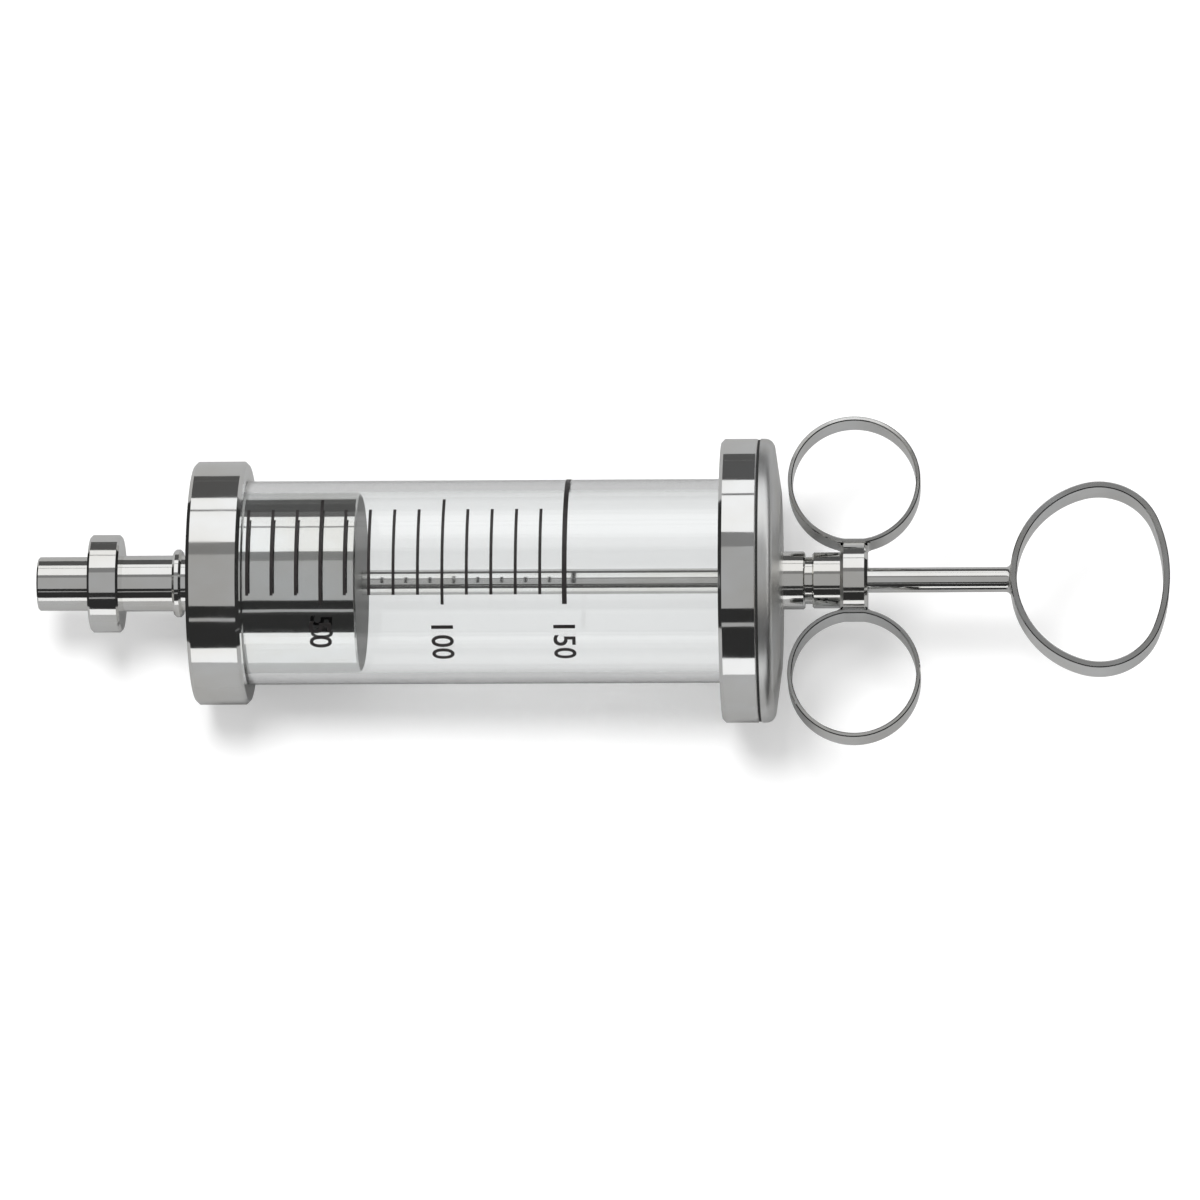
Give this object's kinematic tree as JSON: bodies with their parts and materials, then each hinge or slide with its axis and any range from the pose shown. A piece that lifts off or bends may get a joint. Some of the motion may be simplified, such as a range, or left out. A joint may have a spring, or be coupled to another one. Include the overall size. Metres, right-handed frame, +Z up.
{
  "type": "catheter tip syringe",
  "caption": "Glass and chromed metal irrigation syringe with a catheter tip, graduated barrel, finger rings and an oval thumb ring.",
  "frame": {"origin": "on the table under the middle of the whole syringe as it lies at rest", "axes": "+X from the catheter tip towards the thumb ring, +Y to the left finger ring, +Z up"},
  "size_m": [0.2835, 0.0832, 0.0713],
  "materials": {
    "chrome": "bright chromium plate on brass, polished",
    "clear_glass": "clear, fire polished ends",
    "dark_enamel": "fired enamel, slightly glossy",
    "black_rubber": "smooth moulded",
    "fibre": "cut from pale sheet",
    "bronze": "turned",
    "steel": "turned and milled"
  },
  "bodies": {
    "barrel": {"neck_tube": "chrome", "front_cap": "chrome", "front_gasket": "fibre", "glass_barrel": "clear_glass", "graduation_lines": "dark_enamel", "rear_gasket": "fibre", "rear_ferrule": "chrome"},
    "tip": {"catheter_tip": "chrome", "tip_washer": "fibre"},
    "piston": {"piston_body": "chrome", "piston_front_plate": "chrome", "o_ring_front": "black_rubber", "o_ring_rear": "black_rubber"},
    "rod": {"piston_rod": "chrome", "piston_washer": "steel", "piston_nut": "steel", "thumb_ring": "chrome"},
    "cover": {"rear_cover": "chrome", "guide_bush": "bronze", "rod_seal": "black_rubber", "grip_hub": "chrome", "finger_ring_left": "chrome", "finger_ring_right": "chrome"}
  },
  "joints": [
    {"name": "plunger_slide", "type": "slide", "parent": "barrel", "child": "piston", "axis": [0.9993, 0, 0.0379], "range_m": [0, 0.0965]},
    {"name": "rod_turn", "type": "hinge", "parent": "piston", "child": "rod", "pos_m": [-0.06017, 0, 0.03202], "axis": [0.9993, 0, 0.0379], "continuous": true},
    {"name": "cover_back", "type": "slide", "parent": "barrel", "child": "cover", "axis": [0.9993, 0, 0.0379], "range_m": [0, 0.03]},
    {"name": "tip_off", "type": "slide", "parent": "barrel", "child": "tip", "axis": [-0.9993, 0, -0.0379], "range_m": [0, 0.02]}
  ]
}
